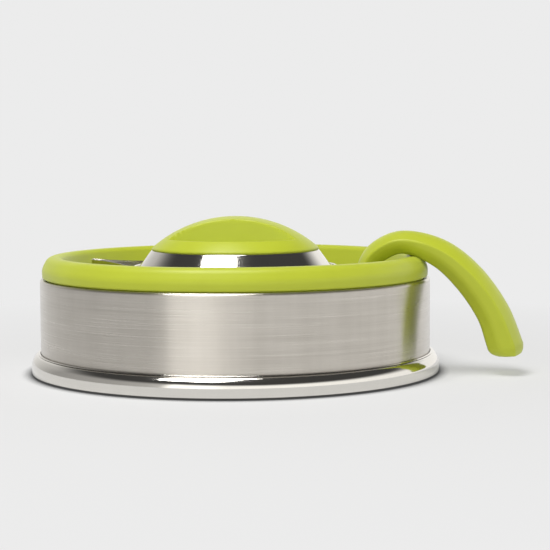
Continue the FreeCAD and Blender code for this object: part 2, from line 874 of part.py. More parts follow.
def make_lid_knob():
    """Shallow domed knob with a scooped recess at each side, leaving a bar to pinch."""
    body = new_body("lid_knob")
    bore = "boss_rad + fit_gap"
    bore_end = "knob_low + boss_depth + bore_end_gap"
    rise = "(knob_top - knob_edge)"
    sphere = f"((pow(knob_rad; 2) + pow({rise}; 2)) / (2 * {rise}))"
    revolve(body, "dome", [
        (bore, "knob_low"),
        ("knob_rad - knob_bevel", "knob_low"),
        ("knob_rad", "knob_low + knob_bevel"),
        ("knob_rad", "knob_edge"),
        ("via", "knob_rad / 2", f"knob_top - {sphere} + sqrt(pow({sphere}; 2) - pow(knob_rad / 2; 2))"),
        ("0", "knob_top"),
        ("0", bore_end),
        (bore, bore_end),
    ])
    doc.recompute()
    for name, sign in (("front", "-1 * "), ("rear", "")):
        before = body.Shape.Volume
        cut = extrude(
            body, f"{name}_recess",
            lambda sketch: outline(sketch, [
                (f"{sign}fin_half", "knob_top + recess_blend"),
                (f"{sign}fin_half", "recess_floor", "recess_blend"),
                (f"{sign}1.1 * knob_rad", "recess_floor"),
                (f"{sign}1.1 * knob_rad", "knob_top + recess_blend"),
            ]),
            "2.2 * knob_rad", role="YZ_Plane", placement=offset(out="-1.1 * knob_rad"),
            kind="PartDesign::Pocket")
        must_cut(body, cut, before)
    bind(body, "Placement", "placement(vector(0; 0; 0); rotation(vector(0; 0; 1); knob_turn))")
    return body


def make_knob_insert():
    """Brass threaded bush moulded into the knob, with a groove that holds it there."""
    middle = "knob_low + boss_depth / 2"
    groove = "boss_rad - groove_deep"
    return lathe("knob_insert", [
        ("thread_rad", "knob_low"),
        ("boss_rad", "knob_low"),
        ("boss_rad", f"{middle} - groove_half"),
        (groove, f"{middle} - groove_half + groove_slope"),
        (groove, f"{middle} + groove_half - groove_slope"),
        ("boss_rad", f"{middle} + groove_half"),
        ("boss_rad", "knob_low + boss_depth"),
        ("thread_rad", "knob_low + boss_depth"),
    ])


def make_knob_washer():
    """Steel washer under the lid's top."""
    top = "lid_top - steel_thick"
    return lathe("knob_washer", [
        ("lid_hole", f"{top} - washer_thick"),
        ("washer_rad", f"{top} - washer_thick", "washer_round"),
        ("washer_rad", top),
        ("lid_hole", top),
    ])


def make_knob_screw():
    """Pan-head screw from under the lid into the brass bush, with a cross recess in its head."""
    body = new_body("knob_screw")
    under = "lid_top - steel_thick - washer_thick"
    revolve(body, "turned", [
        ("0", f"{under} - knob_screw_head_high"),
        ("knob_screw_head", f"{under} - knob_screw_head_high", "knob_screw_round"),
        ("knob_screw_head", under),
        ("knob_screw_rad", under),
        ("knob_screw_rad", "knob_screw_top - groove_half"),
        ("knob_screw_point_rad", "knob_screw_top"),
        ("0", "knob_screw_top"),
    ])
    doc.recompute()
    before = body.Shape.Volume
    near, far = "cross_half", "cross_reach"
    corners = []
    for across, up in (("-1 * ", "-1 * "), ("", "-1 * "), ("", ""), ("-1 * ", "")):
        arm = [(across + near, up + far), (across + near, up + near), (across + far, up + near)]
        corners += arm if across != up else arm[::-1]
    cross = extrude(
        body, "cross", lambda sketch: outline(sketch, corners), "cross_deep",
        placement=offset(out=f"{under} - knob_screw_head_high"), kind="PartDesign::Pocket")
    must_cut(body, cross, before)
    return body


# --------------------------------------------------------------------------------------------------


def check(objects):
    """Every object built, and every sub-part a valid shape."""
    for obj in objects:
        if "Invalid" in obj.State or "Error" in obj.State:
            raise RuntimeError(f"{obj.Label} failed: {obj.State}")
    for part in PARTS:
        if part.Shape.isNull() or not part.Shape.isValid():
            raise RuntimeError(f"{part.Label} has no valid shape")


make_base_cap()
make_heat_spreader()
make_base_shell()
make_rim_clamp_ring()
make_bellows_outer_ring()
make_bellows_outer_fold()
make_bellows_mid_ring()
make_bellows_inner_fold()
make_bellows_top_cuff()
make_collar()
make_collar_clamp_ring()
make_spout()
make_handle_bracket()
make_bracket_rivets()
make_handle()
make_handle_screws()
make_lid_shell()
make_lid_plug_ring()
make_lid_seal()
make_lid_knob()
make_knob_insert()
make_knob_washer()
make_knob_screw()

doc.recompute()
check(doc.Objects)
os.makedirs(OUT, exist_ok=True)
for part in PARTS:
    part.Shape.exportStep(f"{OUT}/{part.Label}.step")
    box = part.Shape.BoundBox
    print(f"{part.Label:20s} {part.Shape.Volume / 1000:9.3f} cm3  solids {len(part.Shape.Solids)}  "
          f"x {box.XMin:7.2f} {box.XMax:7.2f}  z {box.ZMin:6.2f} {box.ZMax:6.2f}")
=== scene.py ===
"""The folded collapsible kettle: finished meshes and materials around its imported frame."""

import math

import bmesh
import bpy
from mathutils import Matrix, Vector


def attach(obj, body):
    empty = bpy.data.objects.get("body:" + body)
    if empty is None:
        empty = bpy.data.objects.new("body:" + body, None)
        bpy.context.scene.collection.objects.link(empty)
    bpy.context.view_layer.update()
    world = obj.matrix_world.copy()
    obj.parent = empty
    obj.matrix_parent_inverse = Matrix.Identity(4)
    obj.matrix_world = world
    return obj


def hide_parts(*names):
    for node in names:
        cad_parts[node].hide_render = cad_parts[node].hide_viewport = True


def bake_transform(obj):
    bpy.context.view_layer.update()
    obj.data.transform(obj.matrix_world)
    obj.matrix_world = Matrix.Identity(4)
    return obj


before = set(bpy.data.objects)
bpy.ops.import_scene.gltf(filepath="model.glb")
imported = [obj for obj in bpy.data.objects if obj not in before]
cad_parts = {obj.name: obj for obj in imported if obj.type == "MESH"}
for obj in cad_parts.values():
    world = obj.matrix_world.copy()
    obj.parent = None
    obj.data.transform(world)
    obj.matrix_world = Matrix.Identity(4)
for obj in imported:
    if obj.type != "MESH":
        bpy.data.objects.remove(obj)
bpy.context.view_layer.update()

MM = 0.001
AROUND = 240          # facets of a turned piece
ROUND_STEPS = 8       # facets of a rounded corner

# Dimensions shared by several pieces, in millimetres (radii from the axis, heights from the ground)
STEEL = 0.8
SILICONE = 2.0
WALL_RAD = 86.2
RIM_TOP = 41.5
FLANGE_RAD = 90.28
FLANGE_TOP = 9.0
FLOOR_LOW = 4.6
FOLD_TOP = (77.0, 47.0)
FOLD_LOW = (68.0, 24.0)
INNER_FOLD_TOP = (58.9, 33.0)
INNER_FOLD_LOW = (52.6, 28.0)
SKIRT_RAD = 49.0
SKIRT_HIGH = 31.0
MOUTH_RAD = 45.0
MOUTH_TOP = 46.4
SEAT = 43.2
RIVET_HEIGHT = 34.0
RIVET_HOLE = 1.75
RIVET_SIDE = 6.0
WINDOW_HALF = 14.0
WINDOW_LOW = 33.0
WINDOW_HIGH = 41.4
WINDOW_ROUND = 3.0
LID_LOW = 44.4
KNOB_LOW = 53.5       # also the lid's flat top
KNOB_EDGE = 54.4
KNOB_TOP = 68.29
KNOB_RAD = 37.0
KNOB_TURN = 4.0

# The knob's bar across the middle and the scoop on each side of it
BAR_HALF = 11.2
BAR_FLARE = 3.6
SCOOP_SLOPE = 6.0
SCOOP_FLOOR = 56.4
SCOOP_LIP = 58.9
SCOOP_RAD = 31.1
SCOOP_FRONT_SLOPE = 1.2
SCOOP_EDGE_ROUND = 1.1
SCOOP_BACK_ROUND = 3.0
SCOOP_FRONT_ROUND = 1.2

# --------------------------------------------------------------------------------------------------
# Mesh helpers


def rounded(corners, steps=ROUND_STEPS):
    """A closed line from corners (x, y) or (x, y, radius), each radius drawn as an arc of equal steps."""
    count = len(corners)
    line = []
    for index, corner in enumerate(corners):
        here = Vector(corner[:2])
        if len(corner) < 3:
            line.append(here)
            continue
        back = (Vector(corners[index - 1][:2]) - here).normalized()
        ahead = (Vector(corners[(index + 1) % count][:2]) - here).normalized()
        half = back.angle(ahead) / 2
        centre = here + (back + ahead).normalized() * (corner[2] / math.sin(half))
        start = here + back * (corner[2] / math.tan(half)) - centre
        turn = start.angle_signed(here + ahead * (corner[2] / math.tan(half)) - centre)
        for step in range(steps + 1):
            line.append(centre + Matrix.Rotation(-turn * step / steps, 2) @ start)
    return line


def held(line, hold=0.15):
    """A closed polyline with extra points near the ends of its long runs, so they shade as flat."""
    fine = []
    for index, point in enumerate(line):
        after = line[(index + 1) % len(line)]
        length = (after - point).length
        fine.append(point)
        if length > 10 * hold:
            fine += [point.lerp(after, hold / length), point.lerp(after, 1 - hold / length)]
    return fine


def add_mesh(name, points, faces, sharp=35):
    """A smooth-shaded mesh object from points in millimetres; edges over the sharp angle stay crisp."""
    mesh = bpy.data.meshes.new(name)
    mesh.from_pydata([Vector(point) * MM for point in points], [], faces)
    mesh.validate()
    mesh.shade_smooth()
    mesh.set_sharp_from_angle(angle=math.radians(sharp))
    piece = bpy.data.objects.new(name, mesh)
    bpy.context.scene.collection.objects.link(piece)
    return piece


def lathe(name, line, around=AROUND, sharp=35):
    """Turns a closed outline of (radius, height) points about the kettle's axis."""
    points, rings = [], []
    for radius, height in held(line):
        if radius < 1e-6:
            rings.append([len(points)] * around)
            points.append((0, 0, height))
            continue
        rings.append(list(range(len(points), len(points) + around)))
        for step in range(around):
            angle = 2 * math.pi * step / around
            points.append((radius * math.cos(angle), radius * math.sin(angle), height))
    faces = []
    for index, ring in enumerate(rings):
        after = rings[(index + 1) % len(rings)]
        for step in range(around):
            ahead = (step + 1) % around
            corners = (ring[step], after[step], after[ahead], ring[ahead])
            face = tuple(dict.fromkeys(corners))
            if len(face) > 2:
                faces.append(face)
    return face_out(add_mesh(name, points, faces, sharp), sharp)


def face_out(piece, sharp=35):
    """Turns every face of a closed mesh outwards."""
    made = bmesh.new()
    made.from_mesh(piece.data)
    bmesh.ops.recalc_face_normals(made, faces=made.faces)
    made.to_mesh(piece.data)
    made.free()
    piece.data.shade_smooth()
    piece.data.set_sharp_from_angle(angle=math.radians(sharp))
    return piece


def loft(name, rings, sharp=35):
    """Skins closed rings of equal point counts and caps both ends with fans."""
    points = [point for ring in rings for point in ring]
    size = len(rings[0])
    faces = []
    for row in range(len(rings) - 1):
        for step in range(size):
            ahead = (step + 1) % size
            low, high = row * size, (row + 1) * size
            faces.append((low + step, low + ahead, high + ahead, high + step))
    for row in (0, len(rings) - 1):
        middle = sum((Vector(point) for point in rings[row]), Vector((0, 0, 0))) / size
        points.append(tuple(middle))
        hub = len(points) - 1
        faces += [(hub, row * size + step, row * size + (step + 1) % size) for step in range(size)]
    return face_out(add_mesh(name, points, faces, sharp), sharp)


def cut(piece, tool):
    """Takes the tool's solid away from the piece and removes the tool."""
    modifier = piece.modifiers.new("cut", "BOOLEAN")
    modifier.operation = "DIFFERENCE"
    modifier.solver = "EXACT"
    modifier.object = tool
    depsgraph = bpy.context.evaluated_depsgraph_get()
    result = bpy.data.meshes.new_from_object(piece.evaluated_get(depsgraph))
    piece.modifiers.clear()
    piece.data = result
    bpy.data.objects.remove(tool)
    piece.data.shade_smooth()
    piece.data.set_sharp_from_angle(angle=math.radians(35))


def dress(piece, material, slot, body, *nodes):
    """Gives a piece its material and body, and hides the frame's own shapes it stands for."""
    piece.data.materials.clear()
    piece.data.materials.append(material)
    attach(piece, body)
    if nodes:
        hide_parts(*nodes)


# --------------------------------------------------------------------------------------------------
# Materials


class Nodes:
    """A short way to build a material's node tree."""

    def __init__(self, name):
        self.material = bpy.data.materials.new(name)
        self.material.use_nodes = True
        self.tree = self.material.node_tree
        self.shader = self.tree.nodes["Principled BSDF"]

    def add(self, kind, inputs=None, **settings):
        node = self.tree.nodes.new(kind)
        for key, value in settings.items():
            setattr(node, key, value)
        for key, value in (inputs or {}).items():
            if isinstance(value, bpy.types.NodeSocket):
                self.tree.links.new(value, node.inputs[key])
            else:
                node.inputs[key].default_value = value
        return node

    def link(self, socket, target):
        self.tree.links.new(socket, self.shader.inputs[target])

    def math(self, operation, first, second=0.0):
        return self.add("ShaderNodeMath", {0: first, 1: second}, operation=operation).outputs[0]

    def place(self):
        """Position on the object in metres, whole and split into x, y and z."""
        coords = self.add("ShaderNodeTexCoord").outputs["Object"]
        return coords, self.add("ShaderNodeSeparateXYZ", {0: coords}).outputs

    def noise(self, vector, scale, detail=3.0, roughness=0.5):
        return self.add("ShaderNodeTexNoise", {
            "Vector": vector, "Scale": scale, "Detail": detail, "Roughness": roughness,
        }).outputs["Fac"]

    def spread(self, value, low, high, out_low, out_high):
        return self.add("ShaderNodeMapRange", {
            "Value": value, "From Min": low, "From Max": high, "To Min": out_low, "To Max": out_high,
        }).outputs["Result"]

    def blend(self, share, first, second):
        """A colour between two colours; the mix node keeps its colour sockets at 6, 7 and 2."""
        mixed = self.add("ShaderNodeMix", {"Factor": share, 6: (*first, 1), 7: (*second, 1)},
                         data_type="RGBA")
        return mixed.outputs[2]

    def bump(self, height, strength, distance):
        node = self.add("ShaderNodeBump", {"Strength": strength, "Distance": distance, "Height": height})
        self.link(node.outputs["Normal"], "Normal")

    def set(self, **values):
        for key, value in values.items():
            self.shader.inputs[key.replace("_", " ")].default_value = value


def turned_steel(name, colour, dark, rough, grain, anisotropy, wear):
    """Steel brushed round the kettle's axis: fine rings of grain, upright streaks and cloudiness."""
    nodes = Nodes(name)
    coords, (x, y, z) = nodes.place()
    angle = nodes.math("ARCTAN2", y, x)
    radius = nodes.math("SQRT", nodes.math("ADD", nodes.math("MULTIPLY", x, x), nodes.math("MULTIPLY", y, y)))
    rings = nodes.add("ShaderNodeCombineXYZ", {
        0: nodes.math("MULTIPLY", angle, 0.6),
        1: nodes.math("MULTIPLY", radius, 1500.0),
        2: nodes.math("MULTIPLY", z, 1500.0),
    }).outputs[0]
    fine = nodes.noise(rings, 2.2, 4.0, 0.65)
    broad_place = nodes.add("ShaderNodeCombineXYZ", {
        0: nodes.math("MULTIPLY", angle, 2.2),
        1: nodes.math("MULTIPLY", radius, 60.0),
        2: nodes.math("MULTIPLY", z, 90.0),
    }).outputs[0]
    broad = nodes.noise(broad_place, 1.6, 3.0, 0.55)
    streak_place = nodes.add("ShaderNodeCombineXYZ", {
        0: nodes.math("MULTIPLY", angle, 7.0),
        1: nodes.math("MULTIPLY", radius, 8.0),
        2: nodes.math("MULTIPLY", z, 5.0),
    }).outputs[0]
    streaks = nodes.noise(streak_place, 1.3, 4.0, 0.6)
    cloud = nodes.noise(coords, 22.0, 3.0, 0.6)
    grain_tone = nodes.math("ADD", nodes.math("MULTIPLY", fine, 0.4), nodes.math("MULTIPLY", broad, 0.25))
    tone = nodes.math("ADD", grain_tone, nodes.math("MULTIPLY", streaks, 0.35))
    nodes.link(nodes.blend(nodes.spread(tone, 0.3, 0.7, 0.0, 1.0), dark, colour), "Base Color")
    gloss = nodes.math("ADD", nodes.spread(fine, 0.3, 0.7, rough * 1.18, rough * 0.82),
                       nodes.spread(cloud, 0.35, 0.75, 0.0, wear))
    nodes.link(gloss, "Roughness")
    nodes.bump(fine, grain, 0.00012)
    nodes.set(Metallic=1.0, Anisotropic=anisotropy, Anisotropic_Rotation=0.25)
    tangent = nodes.add("ShaderNodeTangent", direction_type="RADIAL", axis="Z")
    nodes.link(tangent.outputs[0], "Tangent")
    return nodes.material


def soft_surface(name, colour, shade, rough, grain, speck, sheen=0.0, under=0.0):
    """Silicone or soft-touch plastic: faint mottling, a matt grain and a little light below the skin."""
    nodes = Nodes(name)
    coords, _ = nodes.place()
    mottle = nodes.noise(coords, 38.0, 4.0, 0.6)
    nodes.link(nodes.blend(nodes.spread(mottle, 0.3, 0.7, 0.0, 1.0), shade, colour), "Base Color")
    grit = nodes.noise(coords, speck, 2.0, 0.6)
    smear = nodes.noise(coords, 60.0, 3.0, 0.5)
    nodes.link(nodes.math("ADD", nodes.spread(grit, 0.3, 0.7, rough - 0.03, rough + 0.03),
                          nodes.spread(smear, 0.3, 0.7, -0.03, 0.03)), "Roughness")
    nodes.bump(grit, grain, 0.00005)
    nodes.set(Sheen_Weight=sheen, Sheen_Roughness=0.5, Specular_IOR_Level=0.32, Subsurface_Weight=under,
              Subsurface_Radius=(0.004, 0.004, 0.001), Subsurface_Scale=0.6)
    return nodes.material


def plain_metal(name, colour, dark, rough):
    """A small machined or rolled fitting with a fine even grain."""
    nodes = Nodes(name)
    coords, _ = nodes.place()
    grain = nodes.noise(coords, 2400.0, 3.0, 0.6)
    nodes.link(nodes.blend(nodes.spread(grain, 0.3, 0.7, 0.0, 1.0), dark, colour), "Base Color")
    nodes.link(nodes.spread(grain, 0.3, 0.7, rough * 0.92, rough * 1.1), "Roughness")
    nodes.bump(grain, 0.05, 0.00002)
    nodes.set(Metallic=1.0)
    return nodes.material


BRUSHED = turned_steel("brushed_steel_wall", (0.66, 0.625, 0.575), (0.52, 0.49, 0.442), 0.3, 0.03, 1.0, 0.03)
POLISHED = turned_steel("polished_steel", (0.74, 0.72, 0.68), (0.69, 0.67, 0.63), 0.09, 0.03, 0.4, 0.02)
SATIN = turned_steel("satin_steel", (0.76, 0.715, 0.645), (0.7, 0.66, 0.6), 0.24, 0.02, 0.0, 0.02)
FITTING = plain_metal("fitting_steel", (0.6, 0.59, 0.57), (0.56, 0.55, 0.53), 0.3)
ALUMINIUM = plain_metal("mill_aluminium", (0.78, 0.78, 0.79), (0.74, 0.74, 0.75), 0.34)
BRASS = plain_metal("turned_brass", (0.78, 0.55, 0.2), (0.73, 0.5, 0.17), 0.26)
LIME = (0.475, 0.54, 0.037)
LIME_SHADE = (0.45, 0.51, 0.033)
SILICONE_LIME = soft_surface("lime_silicone", LIME, LIME_SHADE, 0.42, 0.12, 2600.0, 0.05, 0.06)
PLASTIC_LIME = soft_surface("lime_plastic", LIME, LIME_SHADE, 0.38, 0.1, 3200.0, 0.0, 0.04)
SEAL_GREY = soft_surface("seal_silicone", (0.68, 0.68, 0.66), (0.62, 0.62, 0.6), 0.45, 0.1, 2600.0)

# --------------------------------------------------------------------------------------------------
# Pot and capped base


def make_pot():
    """Drawn pot with its floor, rounded corner and a rim rolled inwards."""
    lip = 83.6
    line = rounded([
        (0, FLOOR_LOW),
        (WALL_RAD, FLOOR_LOW, 5.0),
        (WALL_RAD, RIM_TOP, 1.25),
        (lip, RIM_TOP, 1.25),
        (lip, RIM_TOP - 2.6, 0.2),
        (lip + STEEL, RIM_TOP - 2.6, 0.2),
        (lip + STEEL, RIM_TOP - STEEL, 0.4),
        (WALL_RAD - STEEL, RIM_TOP - STEEL, 0.4),
        (WALL_RAD - STEEL, FLOOR_LOW + STEEL, 4.2),
        (0, FLOOR_LOW + STEEL),
    ])
    dress(lathe("pot", line), BRUSHED, "brushed_pot_steel", "base", "base_shell")


def make_base_cap():
    """Pressed cap: an upright band over a set-back foot, a full shoulder and a hem at the wall."""
    hem = 0.28
    line = rounded([
        (0, 0),
        (FLANGE_RAD - 2.2, 0, 0.4),
        (FLANGE_RAD - 1.7, 0.55, 0.2),
        (FLANGE_RAD, 0.55, 0.35),
        (FLANGE_RAD, 6.0, 5.0),
        (FLANGE_RAD - 2.5, FLANGE_TOP - 0.05, 3.0),
        (WALL_RAD + 1.1, FLANGE_TOP - 0.05, 0.25),
        (WALL_RAD + 0.9, FLANGE_TOP + hem, 0.12),
        (WALL_RAD + 0.25, FLANGE_TOP + hem, 0.12),
        (WALL_RAD + 0.06, FLANGE_TOP - 0.6),
        (WALL_RAD + 0.06, FLANGE_TOP - 1.2),
        (FLANGE_RAD - 3.0, FLANGE_TOP - STEEL - 0.2, 0.9),
        (FLANGE_RAD - STEEL, 5.3, 1.4),
        (FLANGE_RAD - STEEL, STEEL + 0.55, 0.2),
        (0, STEEL),
    ], steps=14)
    dress(lathe("base_cap_pressing", line), POLISHED, "polished_steel", "base", "base_cap")


# --------------------------------------------------------------------------------------------------
# Silicone bellows


def fold_lean(top, low):
    """How much a fold's radius grows with height."""
    return (top[0] - low[0]) / (top[1] - low[1])


def make_outer_ring():
    """The broad ring: a cuff inside the rim and a full round roll that runs down into the fold."""
    cuff_in, cuff_out, ring_low, crest = 81.4, 83.2, 41.9, 51.2
    inside = FOLD_TOP[0] - SILICONE
    lean = fold_lean(FOLD_TOP, FOLD_LOW)
    line = rounded([
        (cuff_in, 30.0, 0.4),
        (cuff_out, 30.0, 0.4),
        (cuff_out, ring_low, 0.3),
        (85.15, ring_low, 0.9),
        (85.3, 46.0, 6.0),
        (82.6, crest + 0.05, 4.2),
        (inside + lean * (crest - FOLD_TOP[1]) - 0.1, crest + 0.1, 3.0),
        (inside, FOLD_TOP[1]),
        FOLD_TOP,
        (FOLD_TOP[0] + 1.2, FOLD_TOP[1] + 0.6, 0.8),
        (cuff_in, ring_low + 1.0, 1.6),
    ], steps=12)
    dress(lathe("silicone_outer_ring", line), SILICONE_LIME, "lime_silicone", "base",
          "bellows_outer_ring")


def make_fold(name, top, low, slices, node):
    """A fold's wall, finely sliced along its run."""
    outside = [Vector(top).lerp(Vector(low), step / slices) for step in range(slices + 1)]
    inside = [point - Vector((SILICONE, 0)) for point in reversed(outside)]
    piece = lathe(name, outside + inside)
    piece.data.materials.append(SILICONE_LIME)
    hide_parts(node)
    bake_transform(piece)


def make_mid_ring():
    """Middle ring: a rounded valley, an inner arm and a crest."""
    lean = fold_lean(INNER_FOLD_TOP, INNER_FOLD_LOW)
    inside = INNER_FOLD_TOP[0] - SILICONE
    crest = 36.0
    line = rounded([
        FOLD_LOW,
        (67.2, 21.0, 2.4),
        (63.0, 21.0, 1.8),
        (60.9, 27.5, 3.0),
        (60.6, crest, 1.5),
        (inside + min(lean, 0.5) * (crest - INNER_FOLD_TOP[1]) + 0.2, crest, 1.2),
        (inside, INNER_FOLD_TOP[1]),
        INNER_FOLD_TOP,
        (59.2, 28.0, 1.2),
        (62.4, 23.6, 0.9),
        (FOLD_LOW[0] - SILICONE, FOLD_LOW[1]),
    ], steps=10)
    dress(lathe("silicone_mid_ring", line), SILICONE_LIME, "lime_silicone", "mid_ring",
          "bellows_mid_ring")


def make_top_cuff():
    """U-shaped cuff round the collar's lower edge."""
    line = rounded([
        (46.9, 23.6, 0.8),
        (INNER_FOLD_LOW[0] - 0.2, 23.6, 1.8),
        INNER_FOLD_LOW,
        (INNER_FOLD_LOW[0] - SILICONE, INNER_FOLD_LOW[1], 0.3),
        (SKIRT_RAD + 0.02, INNER_FOLD_LOW[1]),
        (SKIRT_RAD + 0.02, 26.0),
        (SKIRT_RAD - STEEL - 0.02, 26.0),
        (SKIRT_RAD - STEEL - 0.02, 30.4, 0.3),
        (46.9, 30.4, 0.3),
    ])
    dress(lathe("silicone_top_cuff", line), SILICONE_LIME, "lime_silicone", "collar",
          "bellows_top_cuff")


# --------------------------------------------------------------------------------------------------
# Collar and spout


def cone_rad(height):
    """The collar's outer radius on its cone."""
    return SKIRT_RAD - (height - SKIRT_HIGH) * (SKIRT_RAD - MOUTH_RAD) / (MOUTH_TOP - SKIRT_HIGH)


def make_collar():
    """Collar with a rolled mouth, the lid's seat bead, its cone and skirt, and the spout's window."""
    seat_in, mouth_in, roll_out = 42.4, MOUTH_RAD - 0.6, MOUTH_RAD + 0.6
    line = rounded([
        (SKIRT_RAD, 26.0),
        (SKIRT_RAD, SKIRT_HIGH, 2.0),
        (cone_rad(SEAT - 2.2), SEAT - 2.2, 0.8),
        (seat_in + STEEL, SEAT - STEEL, 0.1),
        (MOUTH_RAD, SEAT - STEEL, 0.5),
        (MOUTH_RAD, MOUTH_TOP - 1.7, 0.2),
        (roll_out, MOUTH_TOP - 1.7, 0.4),
        (roll_out, MOUTH_TOP, 0.55),
        (mouth_in, MOUTH_TOP, 0.55),
        (mouth_in, SEAT, 0.3),
        (seat_in, SEAT, 0.3),
        (seat_in, SEAT - STEEL, 0.1),
        (cone_rad(SEAT - 2.6) - STEEL, SEAT - 2.6, 0.8),
        (SKIRT_RAD - STEEL, SKIRT_HIGH, 2.0),
        (SKIRT_RAD - STEEL, 26.0),
    ])
    collar = lathe("collar_pressing", line)
    window = rounded([
        (-WINDOW_HALF, WINDOW_LOW, WINDOW_ROUND),
        (WINDOW_HALF, WINDOW_LOW, WINDOW_ROUND),
        (WINDOW_HALF, WINDOW_HIGH, WINDOW_ROUND),
        (-WINDOW_HALF, WINDOW_HIGH, WINDOW_ROUND),
    ])
    cut(collar, loft("window_tool", [[(x, y, z) for y, z in window] for x in (-54.0, -30.0)]))
    turns = [math.radians(degrees) for degrees in range(0, 360, 12)]
    for side in (RIVET_SIDE, -RIVET_SIDE):
        hole = [(side + RIVET_HOLE * math.cos(turn), RIVET_HEIGHT + RIVET_HOLE * math.sin(turn))
                for turn in turns]
        cut(collar, loft("rivet_tool", [[(x, y, z) for y, z in hole] for x in (38.0, 54.0)]))
    dress(collar, POLISHED, "polished_steel", "collar", "collar")


# Share of the way from the root to the tip, and half width of the open top there
SPOUT_STATIONS = ((0.0, 23.0), (0.26, 13.9), (0.48, 8.0), (0.75, 3.2), (1.0, 1.6))
SPOUT_ROOT, SPOUT_TIP = 40.0, 65.4
SPOUT_TOP = (46.3, 48.7)
SPOUT_KEEL = (31.6, 46.2)
SPOUT_WALL = 0.6


def smooth_value(stations, at):
    """Smooth value at a place along (place, value) stations."""
    last = len(stations) - 1
    index = max(i for i in range(last) if stations[i][0] <= at or i == 0)
    before, here = stations[max(index - 1, 0)], stations[index]
    there, after = stations[index + 1], stations[min(index + 2, last)]
    span = there[0] - here[0]
    share = (at - here[0]) / span
    rise_in = (there[1] - before[1]) / (there[0] - before[0]) * span
    rise_out = (after[1] - here[1]) / (after[0] - here[0]) * span
    cube, square = share ** 3, share ** 2
    return ((2 * cube - 3 * square + 1) * here[1] + (cube - 2 * square + share) * rise_in
            + (3 * square - 2 * cube) * there[1] + (cube - square) * rise_out)


def spout_point(share, across, inset):
    """A point of the trough: share of the way out, across from -1 to 1 between its two rims."""
    half = max(smooth_value(SPOUT_STATIONS, share) - inset, 0.4)
    top = SPOUT_TOP[0] + (SPOUT_TOP[1] - SPOUT_TOP[0]) * share
    keel = SPOUT_KEEL[0] + (SPOUT_KEEL[1] - SPOUT_KEEL[0]) * share + 1.6 * inset
    rise = abs(across) ** 1.55
    width = half * math.copysign(abs(across) ** 0.92, across)
    return Vector((-(SPOUT_ROOT + (SPOUT_TIP - SPOUT_ROOT) * share), width, keel + (top - keel) * rise))


def spout_root(across, inset):
    """The share of the way out at which a line along the trough leaves the collar."""
    low, high = 0.0, 0.8
    for _ in range(30):
        share = (low + high) / 2
        point = spout_point(share, across, inset)
        skin = max(cone_rad(point.z), MOUTH_RAD + 0.6) + 0.03
        if math.hypot(point.x, point.y) < skin:
            low = share
        else:
            high = share
    return high


def make_spout():
    """Open beak of sheet steel: a trough that narrows to its tip, with rounded rims."""
    columns, rows, rim_steps = 64, 40, 5
    rings = []
    for row in range(rows + 1):
        ring = []
        sheets = []
        for inset in (0.0, SPOUT_WALL):
            line = []
            for column in range(columns + 1):
                across = 2 * column / columns - 1
                start = spout_root(across, inset)
                line.append(spout_point(start + (1 - start) * row / rows, across, inset))
            sheets.append(line)
        outside, inside = sheets
        for line, other in ((outside, inside[-1]), (list(reversed(inside)), outside[0])):
            ring += line
            end = line[-1]
            middle = (end + other) / 2
            lift = (end - other).length / 2
            for step in range(1, rim_steps):
                turn = math.pi * step / rim_steps
                ring.append(middle + (end - middle) * math.cos(turn)
                            + Vector((0, 0, lift * math.sin(turn))))
        rings.append(ring)
    dress(loft("spout_beak", rings, sharp=60), SATIN, "polished_steel", "collar", "spout")


# --------------------------------------------------------------------------------------------------
# Handle

# Distance from the axis, height, direction in degrees, thickness, half width and how far out of the
# middle the widest line lies, as a share of the thickness
HANDLE_STATIONS = (
    (58.5, 38.5, 90, 10.4, 9.4, 0.16),
    (59.4, 46.5, 78, 9.8, 9.8, 0.16),
    (64.4, 53.2, 42, 9.6, 10.4, 0.16),
    (75.0, 57.0, 2, 9.6, 11.2, 0.17),
    (90.4, 52.5, -29, 11.8, 11.8, 0.18),
    (103.2, 41.8, -48, 13.4, 12.2, 0.2),
    (113.4, 27.2, -63, 14.0, 12.2, 0.23),
    (118.95, 12.6, -83.5, 15.3, 11.8, 0.27),
)
HANDLE_SLICES = 10
END_DEPTH = 4.7
END_ROUND_IN = 7.0
END_ROUND_OUT = 2.4
END_ROUND_SIDE = 3.6


def handle_ring(x, z, angle, thick, half, ridge, shift=0.0):
    """Section of the handle, square to its run: crowned back, soft ridge, flanks closing inwards."""
    soft = min(1.0, half / 10.0)
    section = rounded([
        (0, 0.5 * thick + 0.6 * (0.5 - ridge) * thick, 1.5 * half),
        (half, ridge * thick, 1.1 * soft),
        (0.97 * half, -0.16 * thick, 5.0 * soft),
        (0.66 * half, -0.5 * thick, 3.0 * soft),
        (-0.66 * half, -0.5 * thick, 3.0 * soft),
        (-0.97 * half, -0.16 * thick, 5.0 * soft),
        (-half, ridge * thick, 1.1 * soft),
    ], steps=8)
    outward = Vector((-math.sin(angle), 0, math.cos(angle)))
    return [Vector((x, 0, z)) + Vector((0, across, 0)) + outward * (out + shift)
            for across, out in section]


def handle_station(at):
    """Smoothly blended station values, at counted in stations from the root."""
    return [smooth_value([(index, station[k]) for index, station in enumerate(HANDLE_STATIONS)], at)
            for k in range(6)]


